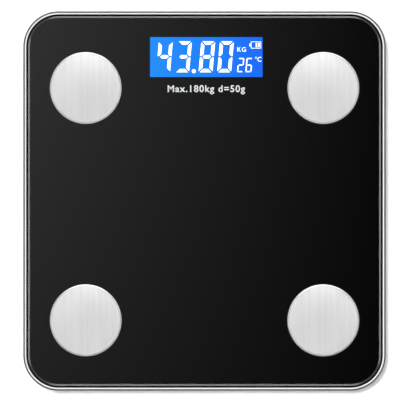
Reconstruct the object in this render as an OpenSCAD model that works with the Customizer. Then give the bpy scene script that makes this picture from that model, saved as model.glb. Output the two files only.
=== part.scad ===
// Digital bathroom scale: a bevelled glass platform with four electrodes, bonded to a shallow
// moulded tray that holds four load cells and feet, the display, its board and the batteries.
// The origin is on the floor under the platform's centre. +Y points to the display end.

/* [Platform] */
// Width of the glass platform, side to side
platform_w = 280; // [240:1:340]
// Length of the glass platform, heel end to display end
platform_l = 293; // [255:1:355]
// Plan radius of the platform's corners
corner_r = 27.5; // [22:0.5:34]
// Thickness of the tempered glass
glass_t = 6; // [5:0.5:8]
// Width of the shallow inner facet of the edge bevel
inner_facet_w = 1.8; // [1:0.1:3]
// Slope of the inner facet, in degrees
inner_facet_slope = 9; // [5:1:12]
// Width of the steeper outer facet of the edge bevel
outer_facet_w = 2.9; // [2:0.1:4]
// Slope of the outer facet, in degrees
outer_facet_slope = 22; // [15:1:28]
// Radius of the polished outer edge of the glass
arris_r = 1.9; // [1.2:0.1:2.4]
// Clear border between the edge of the glass and the black back print
print_inset = 2.4; // [2.3:0.1:3.5]
// Thickness of the black film under the glass
print_t = 0.15; // [0.1:0.05:0.3]

/* [Electrodes] */
// Diameter of each steel electrode
electrode_d = 55.3; // [40:0.1:64]
// Thickness of an electrode at its rim
electrode_t = 0.5; // [0.3:0.1:1]
// Height of the crown at the middle of an electrode
electrode_crown = 0.35; // [0.1:0.05:0.8]
// Distance of the electrode centres from the sides of the platform
electrode_side_inset = 48.3; // [42:0.1:60]
// Distance of the rear electrode centres from the rear edge
electrode_rear_inset = 59.3; // [56:0.1:70]
// Distance of the front electrode centres from the front edge
electrode_front_inset = 54.4; // [52:0.1:70]
// Diameter of the threaded stud under each electrode
stud_d = 4; // [3:0.5:5]

/* [Display] */
// Width of the clear window in the back print
window_w = 86.9; // [70:0.1:92]
// Length of the window, front to rear
window_l = 30.8; // [24:0.1:34]
// Distance of the window's centre from the rear edge
window_rear_inset = 35.3; // [34:0.1:50]
// Offset of the window's centre to the right of the platform's centre
window_offset_x = 1.4; // [-5:0.1:5]
// Thickness of the display's glass sandwich
lcd_t = 2.2; // [1.5:0.1:3]
// Border of the display panel outside the window, on every side
lcd_border = 2.6; // [2:0.1:4]

/* [Tray] */
// Gap between the floor and the tray's underside
foot_gap = 5; // [4:0.5:8]
// Thickness of the tray's floor and walls
wall = 2; // [1.6:0.1:2.6]
// Distance from the glass edge to the foot of the tray's side wall
tray_foot_inset = 8.5; // [7:0.5:9.5]
// Distance from the glass edge to the top of the tray's side wall
tray_head_inset = 5.2; // [4.5:0.1:6]
// Distance from the glass edge to the tray's outer lip
lip_inset = 1; // [0.6:0.1:1.2]
// Thickness of the foam tape between tray and glass
tape_t = 1; // [0.6:0.1:1.5]
// Height of the stiffening ribs on the tray's floor
rib_h = 3; // [2:0.5:4]

/* [Feet and load cells] */
// Diameter of each foot
foot_d = 36; // [30:0.5:38]
// Distance of the foot centres from the platform's edges
foot_inset = 31; // [30:0.5:34]
// Upward travel of a foot from rest to its overload stop
foot_travel = 0.6; // [0.3:0.1:1]
// Thickness of the rubber pad under each foot
pad_t = 2.4; // [1.8:0.1:3]
// Side of the square load cell plate
cell_w = 30; // [26:0.5:31]
// Thickness of the load cell plate
cell_t = 2.5; // [2:0.1:3]

/* [Batteries] */
// Diameter of one battery cell
battery_d = 10.5; // [10:0.1:14.5]
// Length of one battery cell, terminal to terminal
battery_l = 44.5; // [37:0.1:54]
// Number of cells side by side, in series
battery_count = 4; // [4:2:4]
// Thickness of the battery door
door_t = 1.8; // [1.5:0.1:2.4]
// Distance of the battery bay's centre ahead of the platform's centre
bay_y = 4; // [0:1:8]

/* [Unit button] */
// Diameter of the unit button
button_d = 8; // [6:0.5:10]
// Travel of the unit button
button_travel = 0.5; // [0.3:0.1:0.8]
// Distance of the button from the bay's side
button_offset = 16; // [14:1:20]

/* [Hidden] */
$fn = 64;
eps = 0.01;
slip = 0.3; // gap round a piece that drops into a pocket

// Corners as signs, in the order rear left, rear right, front left, front right
CORNERS = [[-1, 1], [1, 1], [-1, -1], [1, -1]];

// Heights, from the floor up
tray_z = foot_gap;
floor_z = tray_z + wall;
battery_gap = 0.4; // between the door and the cells, and between cells and ceiling
bay_ceiling_t = 0.9;
bay_ceiling_z = tray_z + door_t + 2 * battery_gap + battery_d;
tape_z = bay_ceiling_z + bay_ceiling_t / 2;
print_z = tape_z + tape_t;
glass_z = print_z + print_t;
glass_top_z = glass_z + glass_t;
rib_top_z = floor_z + rib_h;

// Platform
half_w = platform_w / 2;
half_l = platform_l / 2;
print_r = corner_r - print_inset;
stud_r = stud_d / 2;
stud_hole_r = stud_r + 1;
bottom_arris = 0.6;
outer_facet_drop = outer_facet_w * tan(outer_facet_slope);
inner_facet_drop = inner_facet_w * tan(inner_facet_slope);
arris_sweep = 90 - outer_facet_slope;
arris_w = arris_r * (1 - cos(arris_sweep));
arris_centre_z = glass_t - inner_facet_drop - outer_facet_drop - arris_r * sin(arris_sweep);

// Electrodes and what clamps them
electrode_r = electrode_d / 2;
electrode_rim_w = 0.9;
electrode_rim_drop = 0.25;
electrode_x = half_w - electrode_side_inset;
electrode_rear_y = half_l - electrode_rear_inset;
electrode_front_y = -half_l + electrode_front_inset;
washer_t = tape_t;
washer_r = stud_r + 2.8;
terminal_t = 0.8;
terminal_r = stud_r + 1.9;
nut_t = 0.8 * stud_d;
nut_flat_r = 0.875 * stud_d;
nut_corner_r = nut_flat_r / cos(30);
stud_end_z = print_z - washer_t - terminal_t - nut_t - 1;
thread_gap = 0.05;

// Display stack
window_x = window_offset_x;
window_y = half_l - window_rear_inset;
lcd_w = window_w + 2 * lcd_border;
lcd_l = window_l + 2 * lcd_border;
lcd_z = tape_z - lcd_t;
frame_wall = 2;
frame_w = lcd_w + 2 * slip + 2 * frame_wall;
frame_l = lcd_l + 2 * slip + 2 * frame_wall;
zebra_w = 2.4;
zebra_l = window_w - 4;
zebra_y = window_y - lcd_l / 2 + zebra_w / 2 + 0.6;
guide_l = lcd_l - zebra_w - 1.6;
guide_y = window_y + (lcd_l - guide_l) / 2;

// Main board
board_t = 1.6;
board_post_h = 2.2;
board_z = floor_z + board_post_h;
board_top_z = board_z + board_t;
frame_floor_z = board_top_z + 1.2;
board_w = frame_w + 14;
board_rear_y = window_y + frame_l / 2;
parts_zone_l = 22; // strip of board in front of the display frame
board_l = frame_l + parts_zone_l;
board_front_y = board_rear_y - board_l;
board_y = board_rear_y - board_l / 2;
board_screw_x = board_w / 2 - 4;
board_screw_y = [board_front_y + 4, board_rear_y - 4];
board_screw_r = 1.3;
post_r = 3.2;
header_l = 6;
header_h = 5;
header_y = board_front_y + header_l / 2 + 1;
plug_l = 7;
plug_tail_y = header_y - header_l / 2 - plug_l;
lead_z = board_top_z + header_h / 2;
lead_end_y = plug_tail_y - 0.1;
lead_run_z = rib_top_z + 0.8; // leads lie on top of the floor ribs
// Header places along the board, and how many ways each has
cell_header_x = [-39, 39, -27, 27];
electrode_header_x = 9;
battery_header_x = -7;
switch_header_x = 18;
pin_pitch = 2;

// Tray
flange_t = wall;
lip_t = 1.2;
lip_h = tape_t - 0.2;
tray_fillet = 2;

// Feet, pods and load cells
foot_r = foot_d / 2;
foot_x = half_w - foot_inset;
foot_y = half_l - foot_inset;
well_gap = 0.6;
well_r = foot_r + well_gap;
pad_r = foot_r - 2.5;
pad_seat = 1.2; // depth of the pad's seat in the foot
cup_z = pad_t - pad_seat;
cup_top_z = tray_z + 3.4;
well_ceiling_z = cup_top_z + foot_travel;
well_ceiling_t = 1.8;
pod_floor_z = well_ceiling_z + well_ceiling_t;
cell_corner_r = 5;
cell_z = pod_floor_z + foot_travel + 1;
cell_top_z = cell_z + cell_t;
carrier_r = (cell_w / 2 - cell_corner_r) * sqrt(2) + cell_corner_r + 2.2;
pod_inner_r = carrier_r + slip;
pod_outer_r = max(pod_inner_r, well_r) + wall;
boss_r = 6;
cell_frame_w = 4;
tongue_w = 11;
tongue_slot = 1.2;
foot_screw_r = 1.5;
relief_top_z = cell_top_z + 1.7;
lead_slot_w = 7;
lead_r = 0.55;

// Battery bay, measured from its own centre
battery_pitch = battery_d + 0.8;
spring_l = 4;
contact_t = 0.4;
bay_w = battery_count * battery_pitch + 0.6;
bay_l = battery_l + spring_l + 2 * contact_t + 0.5;
bay_wall = 1.6;
step_z = tray_z + door_t + 0.3; // ledge that the closed door lies under
door_gap = 0.4;
door_w = bay_w + 2 * bay_wall;
knuckle_r = 1.6;
hinge_y = -bay_l / 2 - bay_wall - door_gap - knuckle_r;
hinge_z = tray_z + knuckle_r;
trunnion_r = 1;
trunnion_l = 1.4;
trunnion_gap = 0.06;
block_w = door_w + 2 * door_gap + 6;
block_front_y = hinge_y - knuckle_r - door_gap - bay_wall;
latch_w = 12;
latch_leg = 1.2;
latch_bend_r = 2; // outer radius of the latch's return bend
latch_inner_y = bay_l / 2 + bay_wall + 0.7;
latch_outer_y = latch_inner_y + 2 * latch_bend_r;
latch_top_z = tray_z + 5.1;
hook_reach = 0.35;
latch_pocket_y = latch_outer_y + hook_reach + 0.1;
block_rear_y = latch_pocket_y + 1.6 + bay_wall;
battery_z = tray_z + door_t + battery_gap + battery_d / 2;
door_edge_y = latch_inner_y + latch_leg;

// Unit button and its switch
button_x = block_w / 2 + button_offset - 3;
button_y = bay_y;
button_r = button_d / 2;
button_recess = 0.6;
button_flange_z = floor_z + 0.3;
button_flange_t = 1;
button_top_z = button_flange_z + button_flange_t + 0.8;
switch_w = 6;
switch_h = 3.5;
plunger_r = 1.7;
button_flange_r = button_r + 1.5;
switch_post_r = 2.2;
switch_z = button_top_z + button_travel + 0.3;
switch_board_z = switch_z + switch_h;
switch_post_x = button_flange_r + 0.4 + switch_post_r;
switch_board_w = 2 * switch_post_x + 5.2;
switch_board_l = 12;
switch_board_t = 1.2;

// ---------- Shared shapes ----------

function arc(cx, cy, r, from, to, steps = 6) =
  [for (i = [0:steps]) let (a = from + (to - from) * i / steps) [cx + r * cos(a), cy + r * sin(a)]];

// Rectangle with true round corners
module rounded_rect(w, l, r) {
  square([w - 2 * r, l], center = true);
  square([w, l - 2 * r], center = true);
  for (x = [-1, 1], y = [-1, 1])
    translate([x * (w / 2 - r), y * (l / 2 - r)]) circle(r);
}

// Platform-shaped outline, drawn in from the edge of the glass
module platform_outline(inset) {
  rounded_rect(platform_w - 2 * inset, platform_l - 2 * inset, corner_r - inset);
}

// Solid with the platform's plan and an edge that follows profile: [inset, height] from low to high
module edge_swept_slab(profile) {
  low = profile[0][1];
  high = profile[len(profile) - 1][1];
  module section(half)
    polygon(concat([for (p = profile) [half - p[0], p[1]]], [[0, high], [0, low]]));
  module both_sides(half, run)
    for (side = [0, 1]) mirror([side, 0, 0])
      rotate([90, 0, 0]) linear_extrude(height = run, center = true) section(half);
  both_sides(half_w, platform_l - 2 * corner_r);
  rotate([0, 0, 90]) both_sides(half_l, platform_w - 2 * corner_r);
  for (i = [0:3])
    let (x = [1, -1, -1, 1][i], y = [1, 1, -1, -1][i])
      translate([x * (half_w - corner_r), y * (half_l - corner_r), 0])
        rotate([0, 0, 90 * i]) rotate_extrude(angle = 90) section(corner_r);
}

// Puts children at one corner's foot, with local +Y pointing to that corner's end of the scale
module at_foot(corner) {
  translate([corner[0] * foot_x, corner[1] * foot_y, 0])
    mirror([0, corner[1] < 0 ? 1 : 0, 0]) children();
}

// Puts children under one corner's electrode
module at_electrode(corner) {
  y = corner[1] > 0 ? electrode_rear_y : electrode_front_y;
  translate([corner[0] * electrode_x, y, 0]) children();
}

module ring(outer_r, inner_r, h) {
  difference() {
    cylinder(r = outer_r, h = h);
    translate([0, 0, -eps]) cylinder(r = inner_r, h = h + 2 * eps);
  }
}

// Pan-head screw standing on its head's underside: shank down, head up
module pan_screw(r, l, head_r, head_h) {
  difference() {
    union() {
      translate([0, 0, -l]) cylinder(r = r, h = l + eps);
      cylinder(r = head_r, h = head_h);
    }
    for (a = [0, 90]) rotate([0, 0, a])
      translate([-head_r * 0.6, -0.3, head_h * 0.45]) cube([head_r * 1.2, 0.6, head_h]);
  }
}

// Round wire through points: Catmull-Rom in plan, and eased in height so it never dips past them
function spline(p, n = 5) = concat(
  [for (i = [0:len(p) - 2], k = [0:n - 1])
    let (
      a = p[max(i - 1, 0)], b = p[i], c = p[i + 1], d = p[min(i + 2, len(p) - 1)], t = k / n,
      plan = 0.5 * (2 * b + (c - a) * t + (2 * a - 5 * b + 4 * c - d) * t * t
        + (3 * b - a - 3 * c + d) * t * t * t)
    ) [plan[0], plan[1], b[2] + (c[2] - b[2]) * t * t * (3 - 2 * t)]],
  [p[len(p) - 1]]);
function unit(v) = v / norm(v);

module wire(points, r, sides = 8) {
  n = len(points);
  rings = [for (i = [0:n - 1])
    let (
      t = unit(points[min(i + 1, n - 1)] - points[max(i - 1, 0)]),
      across = unit(cross(t, abs(t[2]) > 0.9 ? [0, 1, 0] : [0, 0, 1])),
      up = cross(across, t)
    ) for (k = [0:sides - 1])
      points[i] + r * (cos(360 * k / sides) * across + sin(360 * k / sides) * up)];
  skin = [for (i = [0:n - 2], k = [0:sides - 1], half = [0, 1])
    let (a = i * sides + k, b = i * sides + (k + 1) % sides)
      half == 0 ? [a, a + sides, b + sides] : [a, b + sides, b]];
  first = [for (k = [0:sides - 1]) k];
  last = [for (k = [sides - 1:-1:0]) (n - 1) * sides + k];
  polyhedron(points = rings, faces = concat(skin, [first, last]));
}

// ---------- Platform ----------

// Tempered glass with a two-facet polished bevel and a hole for each electrode stud
module glass_platform() {
  facet_z = glass_t - inner_facet_drop;
  profile = concat(
    [[bottom_arris, 0], [0, bottom_arris]],
    [for (p = arc(0, 0, arris_r, 0, arris_sweep, 5)) [arris_r - p[0], arris_centre_z + p[1]]],
    [[arris_w + outer_facet_w, facet_z], [arris_w + outer_facet_w + inner_facet_w, glass_t]]);
  color([0.75, 0.85, 0.83, 0.4])
  difference() {
    translate([0, 0, glass_z]) edge_swept_slab(profile);
    for (c = CORNERS) at_electrode(c)
      translate([0, 0, glass_z - 1]) cylinder(r = stud_hole_r, h = glass_t + 2);
  }
}

// Black film bonded under the glass, open over the display
module back_print() {
  color([0.02, 0.02, 0.02])
  translate([0, 0, print_z]) linear_extrude(height = print_t)
  difference() {
    platform_outline(print_inset);
    translate([window_x, window_y]) square([window_w, window_l], center = true);
    for (c = CORNERS)
      translate([c[0] * electrode_x, c[1] > 0 ? electrode_rear_y : electrode_front_y])
        circle(stud_hole_r);
  }
}

// Crowned steel disc with a rolled rim and a welded stud
module electrode(corner) {
  flat_r = electrode_r - electrode_rim_w;
  crown = [for (i = [8:-1:0]) let (x = flat_r * i / 8)
    [x, electrode_t + electrode_crown * (1 - pow(x / flat_r, 2))]];
  color([0.82, 0.82, 0.83])
  at_electrode(corner) {
    translate([0, 0, glass_top_z]) rotate_extrude(angle = 360)
      polygon(concat([[0, 0], [electrode_r, 0], [electrode_r, electrode_t - electrode_rim_drop]],
        crown));
    translate([0, 0, stud_end_z]) cylinder(r = stud_r, h = glass_top_z - stud_end_z + eps);
  }
}

module electrode_washers() {
  color([0.9, 0.88, 0.8])
  for (c = CORNERS) at_electrode(c)
    translate([0, 0, print_z - washer_t]) ring(washer_r, stud_r + thread_gap, washer_t);
}

// Ring terminals with their crimped barrels, pointing to the middle of the scale
module electrode_terminals() {
  z = print_z - washer_t - terminal_t;
  barrel_r = 1.2;
  color([0.78, 0.76, 0.7])
  for (c = CORNERS) at_electrode(c) rotate([0, 0, c[0] > 0 ? 180 : 0]) {
    difference() {
      union() {
        translate([0, 0, z]) cylinder(r = terminal_r, h = terminal_t);
        translate([0, -1.5, z]) cube([terminal_r + 2, 3, terminal_t]);
      }
      translate([0, 0, z - 1]) cylinder(r = stud_r + thread_gap, h = terminal_t + 2);
    }
    translate([terminal_r + 1, 0, z + terminal_t - barrel_r])
      rotate([0, 90, 0]) ring(barrel_r, lead_r + 0.06, 5);
  }
}

module electrode_nuts() {
  color([0.75, 0.75, 0.76])
  for (c = CORNERS) at_electrode(c)
    translate([0, 0, print_z - washer_t - terminal_t - nut_t]) difference() {
      cylinder(r = nut_corner_r, h = nut_t, $fn = 6);
      translate([0, 0, -1]) cylinder(r = stud_r + thread_gap, h = nut_t + 2);
    }
}

// ---------- Bonding tape ----------

module perimeter_tape() {
  tape_w = 4.6;
  start = print_inset + 0.4;
  color([0.25, 0.25, 0.26])
  translate([0, 0, tape_z]) linear_extrude(height = tape_t) difference() {
    platform_outline(start);
    platform_outline(start + tape_w);
  }
}

module pod_tape_pads() {
  color([0.25, 0.25, 0.26])
  for (c = CORNERS) at_foot(c)
    translate([0, 0, tape_z]) cylinder(r = carrier_r - 0.4, h = tape_t);
}

// ---------- Display ----------

module lcd_gasket() {
  color([0.15, 0.15, 0.15])
  translate([window_x, window_y, tape_z]) linear_extrude(height = tape_t) difference() {
    square([lcd_w, lcd_l], center = true);
    square([window_w + 1, window_l + 1], center = true);
  }
}

// Two bonded sheets: the lower one is longer at the front, where its contacts are
module lcd_panel() {
  front_ledge = zebra_w + 0.8;
  color([0.1, 0.4, 0.95])
  translate([window_x - lcd_w / 2, window_y - lcd_l / 2, lcd_z]) {
    cube([lcd_w, lcd_l, lcd_t / 2]);
    translate([0, front_ledge / 2, 0]) cube([lcd_w, lcd_l - front_ledge / 2, lcd_t]);
  }
}

// Acrylic block that spreads the backlight, with a pocket for the lamps at its right end
module light_guide() {
  color([0.85, 0.92, 1, 0.6])
  difference() {
    translate([window_x - lcd_w / 2, guide_y - guide_l / 2, frame_floor_z])
      cube([lcd_w, guide_l, lcd_z - frame_floor_z]);
    for (y = [-1, 1])
      translate([window_x + lcd_w / 2 - 2, guide_y + y * guide_l / 4 - 2, frame_floor_z - eps])
        cube([2 + eps, 4, 2.4]);
  }
}

module backlight_leds() {
  color([0.95, 0.95, 0.85])
  for (y = [-1, 1])
    translate([window_x + lcd_w / 2 - 1.7, guide_y + y * guide_l / 4 - 1.75, frame_floor_z])
      cube([1.6, 3.5, 2.2]);
}

// Tray-like frame that holds the panel and light guide on the board
module lcd_frame() {
  pocket_w = lcd_w + 2 * slip;
  pocket_l = lcd_l + 2 * slip;
  color([0.92, 0.92, 0.9])
  difference() {
    translate([window_x, window_y, board_top_z]) linear_extrude(height = tape_z - board_top_z)
      rounded_rect(frame_w, frame_l, 1.5);
    translate([window_x - pocket_w / 2, window_y - pocket_l / 2, frame_floor_z])
      cube([pocket_w, pocket_l, tape_z]);
    translate([window_x - zebra_l / 2 - slip, zebra_y - zebra_w / 2 - slip, board_top_z - 1])
      cube([zebra_l + 2 * slip, zebra_w + 2 * slip, 4]);
  }
}

// Striped rubber strip that joins the board's pads to the panel's contacts
module zebra_connector() {
  color([0.5, 0.5, 0.52])
  translate([window_x - zebra_l / 2, zebra_y - zebra_w / 2, board_top_z])
    cube([zebra_l, zebra_w, lcd_z - board_top_z]);
}

// ---------- Main board ----------

module main_board() {
  color([0.05, 0.35, 0.18])
  translate([window_x, board_y, board_z]) linear_extrude(height = board_t) difference() {
    rounded_rect(board_w, board_l, 2);
    for (x = [-1, 1], y = board_screw_y)
      translate([x * board_screw_x, y - board_y]) circle(board_screw_r + 0.2);
  }
}

// Puts children on the board, at x and at a distance behind its front edge
module on_board(x, back) {
  translate([window_x + x, board_front_y + back, board_top_z]) children();
}

module controller_chips() {
  color([0.08, 0.08, 0.09]) {
    on_board(-16, 11) cube([10, 10, 1.4]);
    on_board(2, 12) cube([10, 4, 1.5]);
  }
}

// Small radio board with its shield can and a printed aerial end left bare
module bluetooth_module() {
  color([0.2, 0.3, 0.5]) on_board(22, 9) cube([12, 12, 0.8]);
  color([0.8, 0.8, 0.8]) on_board(23, 10) translate([0, 0, 0.8]) cube([9, 8, 1.6]);
}

module board_capacitors() {
  color([0.15, 0.2, 0.45])
  for (p = [[-30, 16], [-23, 16], [42, 16]]) on_board(p[0], p[1]) cylinder(r = 2.5, h = 6);
}

module crystal() {
  color([0.8, 0.8, 0.78]) on_board(-43, 13.5) linear_extrude(height = 3.5)
    translate([3, 2.3]) rounded_rect(11, 4.6, 2.2);
}

// Every header: [x on the board, number of ways]
HEADERS = concat([for (x = cell_header_x) [x, 3]],
  [[electrode_header_x, 4], [battery_header_x, 4], [switch_header_x, 2]]);

module wire_headers() {
  color([0.93, 0.92, 0.86])
  for (h = HEADERS)
    let (w = h[1] * pin_pitch + 1.9)
      translate([window_x + h[0] - w / 2, header_y - header_l / 2, board_top_z]) difference() {
        cube([w, header_l, header_h]);
        translate([0.6, -eps, 1]) cube([w - 1.2, header_l - 1, header_h - 1.6]);
      }
}

module wire_plugs() {
  color([0.95, 0.95, 0.93])
  for (h = HEADERS)
    let (w = h[1] * pin_pitch + 0.4)
      translate([window_x + h[0] - w / 2, plug_tail_y, board_top_z + 1.1])
        cube([w, plug_l + 2, header_h - 1.8]);
}

module board_screws() {
  color([0.7, 0.7, 0.72])
  for (x = [-1, 1], y = board_screw_y)
    translate([window_x + x * board_screw_x, y, board_top_z])
      pan_screw(board_screw_r - 0.2, board_t + 1.6, 2.4, 1.5);
}

// ---------- Tray ----------

// Outer form of the tray: rounded foot, drafted wall, flange and lip under the glass edge
function tray_outer_profile() =
  let (
    flange_z = tape_z - flange_t,
    fillet = [for (p = arc(0, 0, tray_fillet, 270, 360, 4))
      [tray_foot_inset + tray_fillet - p[0], tray_z + tray_fillet + p[1]]]
  ) concat(fillet, [[tray_head_inset, flange_z], [lip_inset + 0.4, flange_z],
    [lip_inset, flange_z + 0.4], [lip_inset, tape_z + lip_h]]);

// What is hollowed out of that form
function tray_inner_profile() = [
  [tray_foot_inset + wall, floor_z], [tray_head_inset + wall, tape_z],
  [lip_inset + lip_t, tape_z], [lip_inset + lip_t, tape_z + lip_h + 1]];

// Places where floor ribs may not run
module rib_keep_outs() {
  for (c = CORNERS) translate([c[0] * foot_x, c[1] * foot_y]) circle(pod_inner_r + wall / 2);
  translate([-block_w / 2 + 1, bay_y + block_front_y + 1])
    square([block_w - 2, block_rear_y - block_front_y - 2]);
  translate([window_x, board_y]) square([board_w + 3, board_l + 3], center = true);
  translate([button_x, button_y]) square([switch_board_w + 1.6, switch_board_l + 2], center = true);
}

module floor_ribs() {
  rib_t = 1.4;
  reach_x = half_w - tray_foot_inset - wall / 2;
  reach_y = half_l - tray_foot_inset - wall / 2;
  color([0.9, 0.9, 0.9])
  translate([0, 0, floor_z - 0.2]) linear_extrude(height = rib_h + 0.2) difference() {
    union() {
      for (x = [-0.72, -0.38, 0, 0.38, 0.72])
        translate([x * half_w, 0]) square([rib_t, 2 * reach_y], center = true);
      for (y = [-0.76, -0.5, -0.26, 0.32])
        translate([0, y * half_l]) square([2 * reach_x, rib_t], center = true);
    }
    rib_keep_outs();
  }
}

// Solid blocks inside the tray, before their pockets are cut
module tray_blocks() {
  for (c = CORNERS) at_foot(c)
    translate([0, 0, tray_z]) cylinder(r = pod_outer_r, h = tape_z - tray_z);
  translate([-block_w / 2, bay_y + block_front_y, tray_z])
    cube([block_w, block_rear_y - block_front_y, bay_ceiling_z + bay_ceiling_t - tray_z]);
  for (x = [-1, 1], y = board_screw_y)
    translate([window_x + x * board_screw_x, y, floor_z - eps])
      cylinder(r = post_r, h = board_post_h + eps);
  for (x = [-1, 1])
    translate([button_x + x * switch_post_x, button_y, floor_z - eps])
      cylinder(r = switch_post_r, h = switch_board_z - floor_z + eps);
}

// Foot well below, cell pocket above, and the hole between them for the foot's boss
module pod_cuts() {
  translate([0, 0, tray_z - 1]) cylinder(r = well_r, h = well_ceiling_z - tray_z + 1);
  translate([0, 0, well_ceiling_z - 1]) cylinder(r = boss_r + well_gap, h = well_ceiling_t + 2);
  translate([0, 0, pod_floor_z]) cylinder(r = pod_inner_r, h = tape_z);
  translate([-lead_slot_w / 2, -pod_outer_r - 1, cell_top_z])
    cube([lead_slot_w, pod_outer_r, tape_z]);
}

// Everything cut for the batteries, the door, its trunnions and its latch
module bay_cuts() {
  recess_w = door_w + 2 * door_gap;
  translate([0, bay_y, 0]) {
    translate([-bay_w / 2, -bay_l / 2, step_z - eps]) cube([bay_w, bay_l, bay_ceiling_z - step_z]);
    translate([-recess_w / 2, hinge_y, tray_z - 1])
      cube([recess_w, door_edge_y + door_gap - hinge_y, step_z - tray_z + 1]);
    translate([-recess_w / 2, hinge_y - knuckle_r - door_gap, tray_z - 1])
      cube([recess_w, 2 * (knuckle_r + door_gap), 2 * knuckle_r + door_gap + 1]);
    for (side = [-1, 1])
      translate([side * recess_w / 2, hinge_y, hinge_z]) rotate([0, side * 90, 0])
        translate([0, 0, -1]) cylinder(r = trunnion_r + trunnion_gap, h = trunnion_l + 1.2);
    translate([-latch_w / 2 - 1, latch_inner_y - door_gap, tray_z - 1])
      cube([latch_w + 2, latch_pocket_y - latch_inner_y + door_gap, wall + 1]);
    translate([-latch_w / 2 - 1, latch_inner_y - door_gap, floor_z - eps])
      cube([latch_w + 2, latch_pocket_y + 1.4 - latch_inner_y + door_gap,
        latch_top_z + latch_bend_r + 1 - floor_z]);
    finger_scoop();
  }
}

// Shallow scoop beside the latch, for a fingertip
module finger_scoop() {
  scoop_r = 12;
  scoop_depth = 1;
  translate([0, latch_pocket_y + 1, tray_z + scoop_depth - scoop_r])
    rotate([0, 90, 0]) cylinder(r = scoop_r, h = latch_w + 2, center = true);
}

// Low ridges on the bay's ceiling that part the cells
module bay_ridges() {
  for (i = [1:battery_count - 1])
    translate([(i - battery_count / 2) * battery_pitch - 0.3, bay_y - bay_l / 2 + contact_t + 0.3,
      bay_ceiling_z - 3]) cube([0.6, bay_l - 2 * (contact_t + 0.3), 3 + eps]);
}

module base_tray() {
  dish_r = button_r + 3;
  color([0.9, 0.9, 0.9])
  difference() {
    union() {
      difference() {
        union() {
          difference() {
            edge_swept_slab(tray_outer_profile());
            edge_swept_slab(tray_inner_profile());
          }
          intersection() {
            edge_swept_slab(tray_outer_profile());
            union() {
              tray_blocks();
              floor_ribs();
            }
          }
        }
        bay_cuts();
      }
      bay_ridges();
    }
    for (c = CORNERS) at_foot(c) pod_cuts();
    for (x = [-1, 1], y = board_screw_y)
      translate([window_x + x * board_screw_x, y, floor_z]) cylinder(r = 1.1, h = board_post_h + 1);
    for (x = [-1, 1])
      translate([button_x + x * switch_post_x, button_y, floor_z])
        cylinder(r = 0.9, h = switch_board_z);
    translate([button_x, button_y, tray_z - 1]) cylinder(r = button_r + 0.3, h = wall + 2);
    translate([button_x, button_y, tray_z - 1]) cylinder(r = dish_r, h = 1 + button_recess);
  }
}

// ---------- Load cells ----------

// Puck bonded under the glass: it presses on the cell's outer frame and leaves the tongue free
module cell_carrier(corner) {
  pocket_w = cell_w + 2 * slip;
  relief_w = cell_w - 2 * cell_frame_w - 0.4;
  bottom_z = pod_floor_z + slip;
  color([0.88, 0.88, 0.86])
  at_foot(corner) difference() {
    translate([0, 0, bottom_z]) cylinder(r = carrier_r, h = tape_z - bottom_z);
    translate([0, 0, bottom_z - 1]) linear_extrude(height = cell_top_z - bottom_z + 1)
      rounded_rect(pocket_w, pocket_w, cell_corner_r);
    translate([-relief_w / 2, -relief_w / 2, cell_top_z - 1])
      cube([relief_w, relief_w, relief_top_z - cell_top_z + 1]);
    translate([-lead_slot_w / 2, -carrier_r - 1, cell_top_z - 1])
      cube([lead_slot_w, carrier_r + 1, relief_top_z - cell_top_z + 1]);
  }
}

// Stamped plate: an outer frame and a tongue that is free on three sides
module load_cell(corner) {
  inner_w = cell_w - 2 * cell_frame_w;
  color([0.72, 0.73, 0.75])
  at_foot(corner) translate([0, 0, cell_z]) difference() {
    linear_extrude(height = cell_t) difference() {
      rounded_rect(cell_w, cell_w, cell_corner_r);
      difference() {
        square([inner_w, inner_w], center = true);
        translate([-tongue_w / 2, -inner_w / 2 - 1])
          square([tongue_w, inner_w + 1 - tongue_slot]);
      }
      circle(foot_screw_r + 0.1);
    }
    for (x = [-1, 1]) // necks that raise the strain beside the gauge
      translate([x * (tongue_w / 2 + 0.6), -inner_w / 2 + 3.5, -1]) cylinder(r = 2, h = cell_t + 2);
  }
}

// A bonded gauge under its bead of sealant, on each tongue's neck
module strain_gauges() {
  gauge_y = -(cell_w / 2 - cell_frame_w) + 3.5;
  color([0.95, 0.95, 0.92])
  for (c = CORNERS) at_foot(c)
    translate([0, gauge_y, cell_top_z]) linear_extrude(height = 0.6)
      rounded_rect(6, 5, 1.2);
}

// ---------- Feet ----------

module foot_cup(corner) {
  floor_t = 2;
  skirt_t = 2;
  edge = 1.2;
  boss_foot_z = pad_t + floor_t;
  skirt = concat(
    [[pad_r + 0.2, cup_z]],
    [for (p = arc(foot_r - edge, cup_z + edge, edge, 270, 360, 4)) p],
    [[foot_r, cup_top_z], [foot_r - skirt_t, cup_top_z], [foot_r - skirt_t, boss_foot_z],
      [0, boss_foot_z], [0, pad_t], [pad_r + 0.2, pad_t]]);
  color([0.85, 0.85, 0.84])
  at_foot(corner) difference() {
    union() {
      rotate_extrude(angle = 360) polygon(skirt);
      translate([0, 0, pad_t]) cylinder(r = boss_r, h = cell_z - pad_t);
      for (a = [0:60:300]) rotate([0, 0, a])
        translate([boss_r - 1, -0.7, boss_foot_z - eps])
          cube([foot_r - skirt_t - boss_r + 1.5, 1.4, cup_top_z - boss_foot_z - 1]);
    }
    translate([0, 0, pad_t - 1]) cylinder(r = foot_screw_r + 0.1, h = cell_z);
    translate([0, 0, pad_t - 1]) cylinder(r = 3.2, h = 3.6);
  }
}

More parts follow.
